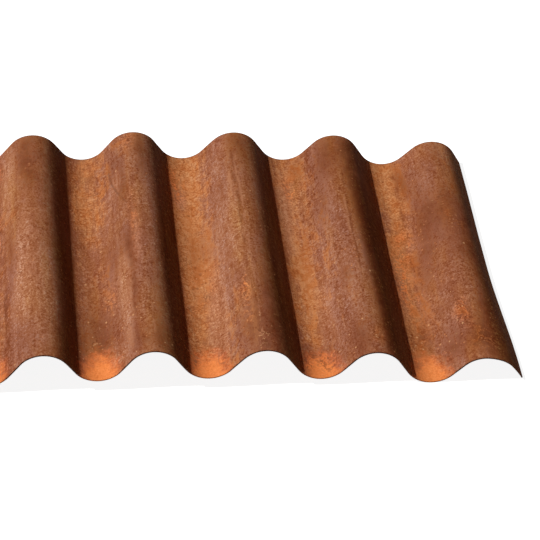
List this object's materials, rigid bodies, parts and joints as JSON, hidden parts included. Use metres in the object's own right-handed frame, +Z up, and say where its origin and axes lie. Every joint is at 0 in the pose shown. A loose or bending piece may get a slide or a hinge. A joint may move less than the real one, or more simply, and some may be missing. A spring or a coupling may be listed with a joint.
{
  "type": "corrugated metal sheet",
  "caption": "Short panel of rusted weathering steel, rolled to round crests and troughs, cut square at both ends and gently bowed up along one side.",
  "frame": {"origin": "middle of the floor that the panel covers, at floor level", "axes": "+X runs across the corrugations towards the bowed side, +Y along the corrugations, +Z up"},
  "size_m": [0.9212, 0.2286, 0.0302],
  "materials": {
    "weathered_steel": "matte"
  },
  "bodies": {
    "root": {"corrugated_sheet": "weathered_steel"}
  },
  "joints": []
}
